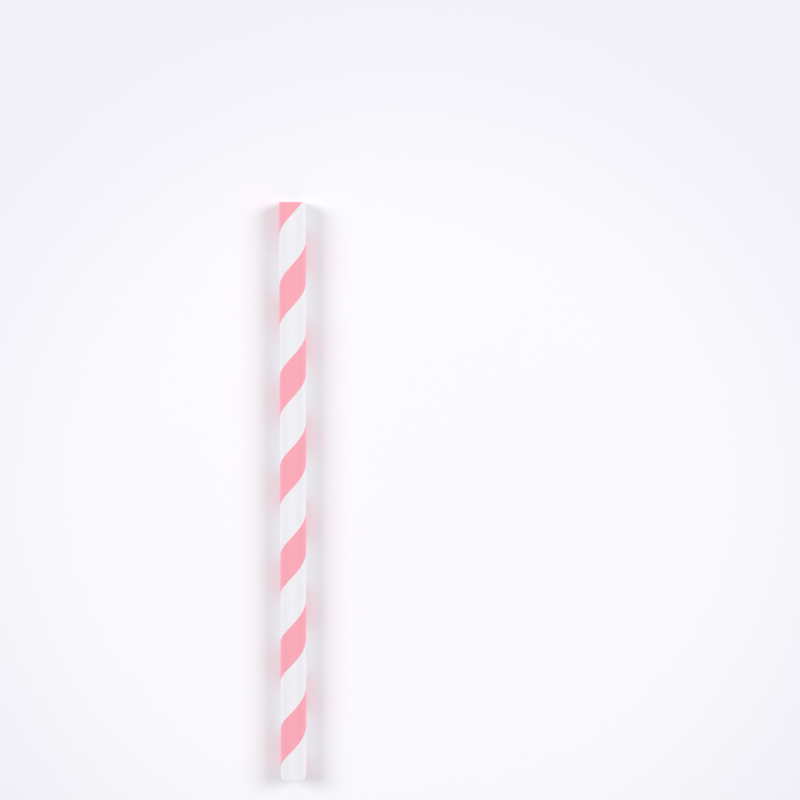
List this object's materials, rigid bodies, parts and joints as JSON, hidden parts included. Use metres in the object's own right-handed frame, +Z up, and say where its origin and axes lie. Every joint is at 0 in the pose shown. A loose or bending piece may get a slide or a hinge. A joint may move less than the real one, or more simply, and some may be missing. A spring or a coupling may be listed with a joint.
{
  "type": "paper drinking straw",
  "caption": "Straight drinking straw: a thin round tube wound from white paper tape, with a pink stripe spiralling up its outside and square-cut open ends.",
  "frame": {"origin": "under the middle of the straw's length, on the surface it lies on", "axes": "+Y along the straw, towards the end that is uppermost in the picture; +X to the right across the side the picture shows; +Z up, out of that side"},
  "size_m": [0.0088, 0.197, 0.0088],
  "materials": {
    "striped_paper": "smooth matte white paper with one flat pink band printed round the outside as a right-handed spiral; the bore and the cut ends are bare white paper"
  },
  "bodies": {
    "root": {"straw_tube": "striped_paper"}
  },
  "joints": []
}
